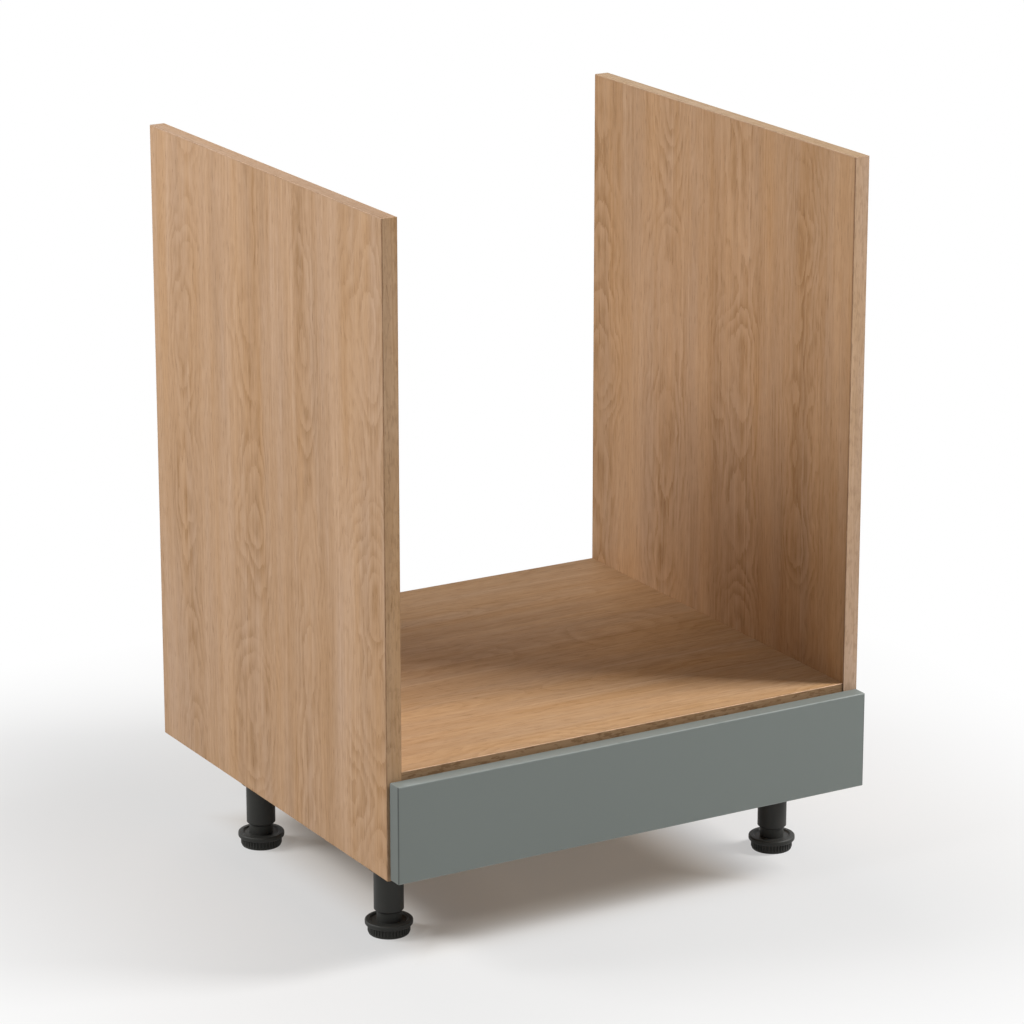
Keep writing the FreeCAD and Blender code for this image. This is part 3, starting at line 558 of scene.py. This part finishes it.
class CABINET_OT_edging(bpy.types.Operator):
    """Straight-grained oak print on the edging strips, with flecks, a painted highlight along the pale rims,
    patchy with scuffs, and a dark glue line along the pore-coloured rims
    """
    bl_idname = "cabinet.edging"
    bl_label = "Edging"

    LAYERS_THROUGH = 4.0
    ARCHES = 0.25
    GLOSS = 0.08
    SCUFFS = Noise(55.0, 3.0, 0.65)
    SCUFF_FADE = (0.30, 0.60)
    SCUFFS_ROUGHER = 0.12
    SMOOTHER = 0.04
    FLECKS = Layer(260.0, 85.0, 3.0, 0.6, 0.0)
    FLECK_FADE = (0.50, 0.64)
    # The rims: how far in the painted highlight and the glue line reach, their least share where unscuffed,
    # and their strength
    RIM_WIDTH = (0.0002, 0.0010)
    RIM_LEAST = 0.4
    RIM_SHADE = 0.65

    def execute(self, context):
        for name, strip in EDGINGS.items():
            self.dress(context.scene.cabinet.oak, name, strip)
        return {"FINISHED"}

    def dress(self, oak, name, strip):
        """The finish of one strip."""
        low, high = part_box(name)
        wide = "XYZ".index(strip.across)
        finish = Finish(f"oak_{name}")
        across, along, through = (finish.axis(letter) for letter in strip[:3])
        layer = through * self.LAYERS_THROUGH + strip.cut
        face, pores = oak_print(finish, oak, across, along, layer, strip.cut, self.ARCHES)
        face = finish.tinted(face, solid(strip.tint))
        fleck = oak_noise(finish, self.FLECKS, across, along, through + strip.cut).rise(*self.FLECK_FADE)
        face = finish.mix(fleck * strip.flecks, face, solid(oak.pore))
        # At the rims the print is mixed with the rim wood, patchy with scuffs: pale rim wood is a painted
        # highlight along the arris, strongest on the shelf's edging, and pore-coloured rim wood is a dark
        # glue line
        rim = (high[wide] - low[wide]) / 2 - abs(across - (low[wide] + high[wide]) / 2)
        scuffs = finish.cloud(self.SCUFFS)
        worn = self.RIM_LEAST + scuffs.rise(*self.SCUFF_FADE) * (1.0 - self.RIM_LEAST)
        rims = solid(getattr(oak, strip.rims), strip.shade)
        face = finish.mix(rim.fall(*self.RIM_WIDTH) * worn * self.RIM_SHADE, face, rims)
        rough = oak.roughness - self.SMOOTHER + scuffs * self.SCUFFS_ROUGHER
        wear([name], finish.surface(face, rough, 1.0 - pores, oak.pore_depth, self.GLOSS))


class CABINET_OT_front(bpy.types.Operator):
    """Matt lacquer on the front panel, with a painted highlight along its edges, painted shade on its ends
    and a dark painted shade line along the front arris of each end
    """
    bl_idname = "cabinet.front"
    bl_label = "Front panel"

    CLOUD = Noise(3.2, 3.0, 0.55)
    CLOUD_SHADES = (0.93, 1.06)
    CLOUD_LEAST, CLOUD_RANGE = 0.25, 0.5
    SPECKS = Noise(900.0, 2.0, 0.6)
    SPECK_FADE = (0.55, 0.75)
    SPECK_SHADE = 0.10
    SPECK_HEIGHT = 0.4
    PEEL = Noise(320.0, 2.0, 0.5)
    PATCHES = Noise(42.0, 3.0, 0.6)
    PATCH_FADE = (0.20, 0.55)
    # Where the painted highlight along the edges starts and how strong it is
    RUB_START = 0.0004
    RUB_SHADE = 0.70
    # A dark line painted along the front arris of each end: painted shade of the arris
    SEAM_WIDTH = (0.0009, 0.0019)
    SEAM_DARKENS, SEAM_SHADE = 0.75, 0.42
    # The ends of the panel are darkened: painted shade on the end faces
    END_WIDTH = (0.0001, 0.0010)
    END_DARKENS, END_SHADE = 0.8, 0.70
    SMOOTHER = 0.05
    CLOUD_ROUGHER, SPECKS_ROUGHER, EDGES_SMOOTHER = 0.08, 0.06, 0.10

    def execute(self, context):
        front = context.scene.cabinet.front
        low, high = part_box("front_panel")
        finish = Finish("front_lacquer")
        middle = (low + high) / 2
        half = (high - low) / 2
        x, y, z = (half[n] - abs(finish.axis(letter) - middle[n]) for n, letter in enumerate("XYZ"))
        second_nearest = x + y + z - x.least(y).least(z) - x.most(y).most(z)
        cloud = finish.cloud(self.CLOUD)
        speck = finish.cloud(self.SPECKS)
        # Painted highlight: paler lacquer within a few millimetres of each edge, patchy
        rubbed = second_nearest.fall(self.RUB_START, front.rub_width)
        rubbed = rubbed * finish.cloud(self.PATCHES).rise(*self.PATCH_FADE)
        # Painted shade: a dark line along the front arris of each end, where the end meets the front face
        seam = x.most(finish.axis("Y") - low.y).fall(*self.SEAM_WIDTH)
        # Painted shade: the end faces a shade darker than the front
        end = x.fall(*self.END_WIDTH)
        dark, light = (solid(front.lacquer, shade) for shade in self.CLOUD_SHADES)
        base = finish.mix(self.CLOUD_LEAST + cloud * self.CLOUD_RANGE, dark, light)
        base = finish.mix(speck.rise(*self.SPECK_FADE) * self.SPECK_SHADE, base, solid(front.rubbed))
        base = finish.mix(rubbed * (1.0 - seam) * self.RUB_SHADE, base, solid(front.rubbed))
        base = finish.mix(seam * self.SEAM_DARKENS, base, solid(front.lacquer, self.SEAM_SHADE))
        base = finish.mix(end * self.END_DARKENS, base, solid(front.lacquer, self.END_SHADE))
        rough = front.roughness - self.SMOOTHER + cloud * self.CLOUD_ROUGHER + speck * self.SPECKS_ROUGHER
        rough = rough - rubbed * self.EDGES_SMOOTHER
        height = finish.cloud(self.PEEL) + speck * self.SPECK_HEIGHT
        wear(["front_panel"], finish.surface(base, rough, height, front.peel_depth, front.gloss))
        return {"FINISHED"}


class CABINET_OT_legs(bpy.types.Operator):
    """Moulded black plastic on the legs, greyed where it meets the floor and the hand"""
    bl_idname = "cabinet.legs"
    bl_label = "Legs"

    TEXTURE = Noise(1500.0, 2.0, 0.65)
    CLOUD = Noise(45.0, 3.0, 0.6)
    SCRATCHES = (130.0, 130.0, 1900.0)
    SCRATCH_ROUGHNESS = 0.6
    SCRATCH_FADE = (0.64, 0.72)
    SCRATCH_DUST, SCRATCH_HEIGHT = 0.25, 0.3
    HAND_FADE, HAND_DUST = (0.46, 0.70), 0.30
    FLOOR_FADE, FLOOR_DUST = (0.35, 0.60), 0.45
    FLOOR_RUB = (0.0004, 0.0075)
    DUST_SHADE = 0.55
    SMOOTHER, CLOUD_ROUGHER, DUST_ROUGHER = 0.06, 0.12, 0.14

    def execute(self, context):
        legs = context.scene.cabinet.legs
        finish = Finish("leg_plastic")
        cloud = finish.cloud(self.CLOUD)
        scratch = finish.noise(finish.stretched(self.SCRATCHES), roughness=self.SCRATCH_ROUGHNESS)
        floor_rub = finish.axis("Z").fall(*self.FLOOR_RUB)
        dust = cloud.rise(*self.HAND_FADE) * self.HAND_DUST
        dust = dust + floor_rub * cloud.rise(*self.FLOOR_FADE) * self.FLOOR_DUST
        dust = (dust + scratch.rise(*self.SCRATCH_FADE) * self.SCRATCH_DUST).least(1.0)
        base = finish.mix(dust * self.DUST_SHADE, solid(legs.plastic), solid(legs.worn))
        rough = legs.roughness - self.SMOOTHER + cloud * self.CLOUD_ROUGHER + dust * self.DUST_ROUGHER
        height = finish.cloud(self.TEXTURE) + scratch * self.SCRATCH_HEIGHT
        names = [f"{moulding}_{corner}" for moulding in LEG_MOULDINGS for corner in CORNERS]
        wear(names, finish.surface(base, rough, height, legs.texture_depth, legs.gloss))
        return {"FINISHED"}


class CABINET_OT_fixings(bpy.types.Operator):
    """Zinc plating on the steel fixings and plain beech on the dowels"""
    bl_idname = "cabinet.fixings"
    bl_label = "Fixings"

    BLOOM = Noise(160.0, 4.0, 0.65)
    BLOOM_FADE = (0.42, 0.66)
    BLOOM_SHADE = 0.7
    BRUSHED = (900.0, 900.0, 120.0)
    BRUSH_ROUGHNESS = 0.6
    BLOOM_ROUGHER, BRUSH_ROUGHER = 0.20, 0.10
    GRAIN = (40.0, 900.0, 900.0)
    GRAIN_OCTAVES, GRAIN_ROUGHNESS = 3.0, 0.6
    GRAIN_FADE, GRAIN_SHADE = (0.35, 0.70), 0.72
    GRAIN_ROUGHER = 0.2
    FLUTES = (90.0, 1600.0, 1600.0)
    FLUTE_FADE, FLUTE_DARKENS, FLUTE_SHADE = (0.5, 0.9), 0.35, 0.45
    FLUTE_HEIGHT = 0.4

    def execute(self, context):
        fixings = context.scene.cabinet.fixings
        self.steel(fixings)
        self.dowels(fixings)
        return {"FINISHED"}

    def steel(self, fixings):
        """Zinc plating with dull patches."""
        finish = Finish("zinc_steel")
        dull = finish.cloud(self.BLOOM).rise(*self.BLOOM_FADE)
        brushed = finish.noise(finish.stretched(self.BRUSHED), roughness=self.BRUSH_ROUGHNESS)
        base = finish.mix(dull * self.BLOOM_SHADE, solid(fixings.zinc), solid(fixings.tarnish))
        rough = fixings.zinc_roughness + dull * self.BLOOM_ROUGHER + brushed * self.BRUSH_ROUGHER
        wear(STEEL_NODES, finish.surface(base, rough, brushed, fixings.brush_depth, metallic=1.0))

    def dowels(self, fixings):
        """Plain beech with fluted sides, the flutes darkened as painted shade in the grooves."""
        finish = Finish("beech_dowel")
        grain = finish.noise(finish.stretched(self.GRAIN), 1.0, self.GRAIN_OCTAVES, self.GRAIN_ROUGHNESS)
        flutes, _ = finish.cells(finish.stretched(self.FLUTES))
        dark = solid(fixings.beech, self.GRAIN_SHADE)
        darker = solid(fixings.beech, self.FLUTE_SHADE)
        base = finish.mix(grain.rise(*self.GRAIN_FADE), solid(fixings.beech), dark)
        # Painted shade: the flutes darker than the beech around them
        base = finish.mix(flutes.rise(*self.FLUTE_FADE) * self.FLUTE_DARKENS, base, darker)
        rough = fixings.beech_roughness + grain * self.GRAIN_ROUGHER
        height = grain - flutes * self.FLUTE_HEIGHT
        wear(["dowels"], finish.surface(base, rough, height, fixings.flute_depth))


# A lamp: degrees round from the front towards the right, degrees up from the floor, and its size in metres
Lamp = namedtuple("Lamp", "round_to up size")
LAMPS = {
    "key": Lamp(60.0, 38.0, 1.15),
    "left": Lamp(-81.0, 36.0, 0.8),
    "left_back": Lamp(-110.0, 36.0, 0.8),
    "rear_left": Lamp(-120.0, 28.0, 1.6),
    "back": Lamp(170.0, 35.0, 2.0),
}


class CABINET_OT_studio(bpy.types.Operator):
    """Pale floor, soft light and the camera"""
    bl_idname = "cabinet.studio"
    bl_label = "Studio"

    # Where the floor opens, in metres out from the cabinet's outline: there the floor glows whiter, painted
    # light that lightens the cabinet's shadow. At the right, where the key light reaches under the cabinet,
    # it opens further in
    OPEN_BESIDE = (-0.13, -0.02)
    OPEN_BEFORE = (-0.12, 0.0)
    RIGHT_FURTHER_IN = 0.07
    # Where the covered floor gets paler with painted light, in metres in from the left side, and where the
    # open floor is white
    MIDDLE = (0.06, 0.24)
    RUN_OUT = (0.05, 0.74)
    # How white the floor glows at the least, and what the open floor, the covered middle and the far floor
    # add; near the cabinet this glow is painted light in its shadow
    WHITE_LEAST, WHITE_OPEN, WHITE_MIDDLE, WHITE_FAR = 0.05, 0.43, 0.10, 0.60

    def execute(self, context):
        scene = context.scene
        studio = scene.cabinet.studio
        scene.view_settings.view_transform = "Standard"
        self.floor(studio)
        self.sky(scene, studio)
        for name, lamp in LAMPS.items():
            self.softbox(scene, studio, name, lamp)
        self.camera(scene, studio)
        return {"FINISHED"}

    def floor(self, studio):
        """A wide floor that glows white for the camera away from the cabinet, with painted light in the
        cabinet's shadow and a painted warm bounce under it.
        """
        bpy.ops.mesh.primitive_plane_add(size=studio.floor_width, location=(0.0, 0.0, 0.0))
        floor = bpy.context.object
        floor.name = "floor"
        finish = Finish("pale_floor")
        low, high = CAD_BOX
        x, y = finish.axis("X"), finish.axis("Y")
        beside = (x - high.x + self.RIGHT_FURTHER_IN).most(low.x - x)
        before = low.y - y
        behind = y - high.y
        out = finish.point(beside.most(0.0), before.most(behind).most(0.0), 0.0)
        away = finish.node("ShaderNodeVectorMath", {"operation": "LENGTH"}, {0: out}, "Value")
        open_floor = beside.most(behind).rise(*self.OPEN_BESIDE).most(before.rise(*self.OPEN_BEFORE))
        middle = (x - low.x).rise(*self.MIDDLE) * (1.0 - open_floor)
        whiteness = open_floor * self.WHITE_OPEN + middle * self.WHITE_MIDDLE + self.WHITE_LEAST
        whiteness = whiteness + away.rise(*self.RUN_OUT) * self.WHITE_FAR
        # Under the cabinet the glow takes the bounce colour: painted warm bounce light
        tint = finish.mix(open_floor, solid(studio.bounce), WHITE)
        matt = finish.node("ShaderNodeBsdfDiffuse", inputs={"Color": solid(studio.floor)})
        glow = finish.node("ShaderNodeEmission", inputs={"Color": tint, "Strength": 1.0})
        whiteness = whiteness * finish.watched()
        both = finish.node("ShaderNodeMixShader", inputs={0: whiteness, 1: matt, 2: glow})
        finish.node("ShaderNodeOutputMaterial", inputs={"Surface": both})
        floor.data.materials.append(finish.material)

    @staticmethod
    def sky(scene, studio):
        """Even light from all round, which looks white behind the cabinet."""
        world = bpy.data.worlds.new("studio_sky")
        sky = Nodes(world)
        strength = studio.sky + sky.watched() * (1.0 - studio.sky)
        light = sky.node("ShaderNodeBackground", inputs={"Color": WHITE, "Strength": strength})
        sky.node("ShaderNodeOutputWorld", inputs={"Surface": light})
        scene.world = world

    @staticmethod
    def softbox(scene, studio, name, lamp):
        """A square area light, turned towards the cabinet."""
        turn, rise = math.radians(lamp.round_to), math.radians(lamp.up)
        way = Vector((math.sin(turn) * math.cos(rise), -math.cos(turn) * math.cos(rise), math.sin(rise)))
        data = bpy.data.lights.new(f"{name}_softbox", "AREA")
        data.shape = "SQUARE"
        data.size = lamp.size
        data.energy = getattr(studio, name)
        softbox = bpy.data.objects.new(f"{name}_softbox", data)
        softbox.location = Vector((0.0, 0.0, studio.lit_height)) + way * studio.lamp_reach
        softbox.rotation_euler = (-way).to_track_quat("-Z", "Y").to_euler()
        scene.collection.objects.link(softbox)

    @staticmethod
    def camera(scene, studio):
        """The camera at the front left, turned down a little."""
        data = bpy.data.cameras.new("camera")
        data.lens = studio.camera_lens
        data.clip_end = studio.camera_reach
        camera = bpy.data.objects.new("camera", data)
        camera.location = studio.camera_place
        camera.rotation_euler = Euler((math.pi / 2 - studio.camera_dip, 0.0, -studio.camera_turn), "XYZ")
        scene.collection.objects.link(camera)
        scene.camera = camera


OPERATORS = (CABINET_OT_boards, CABINET_OT_edging, CABINET_OT_front, CABINET_OT_legs, CABINET_OT_fixings,
             CABINET_OT_studio)


class CABINET_PT_looks(bpy.types.Panel):
    """Lists the finishes of the cabinet and their settings"""
    bl_idname = "CABINET_PT_looks"
    bl_label = "Oven Housing"
    bl_space_type = "VIEW_3D"
    bl_region_type = "UI"
    bl_category = "Cabinet"

    def draw(self, context):
        settings = context.scene.cabinet
        for operator in OPERATORS:
            self.layout.operator(operator.bl_idname)
        for group in (settings.oak, settings.core, settings.front, settings.legs, settings.fixings,
                      settings.studio):
            box = self.layout.box()
            for name in group.bl_rna.properties.keys():
                if name not in {"rna_type", "name"}:
                    box.prop(group, name)


CLASSES = (OakSettings, CoreSettings, FrontSettings, LegSettings, FixingSettings, StudioSettings,
           CabinetSettings, *OPERATORS, CABINET_PT_looks)


def register():
    for cls in CLASSES:
        bpy.utils.register_class(cls)
    bpy.types.Scene.cabinet = PointerProperty(type=CabinetSettings)


def unregister():
    del bpy.types.Scene.cabinet
    for cls in reversed(CLASSES):
        bpy.utils.unregister_class(cls)


def main():
    """Dress the cabinet and set the studio."""
    register()
    bpy.ops.cabinet.boards()
    bpy.ops.cabinet.edging()
    bpy.ops.cabinet.front()
    bpy.ops.cabinet.legs()
    bpy.ops.cabinet.fixings()
    bpy.ops.cabinet.studio()


if __name__ == "__main__":
    main()
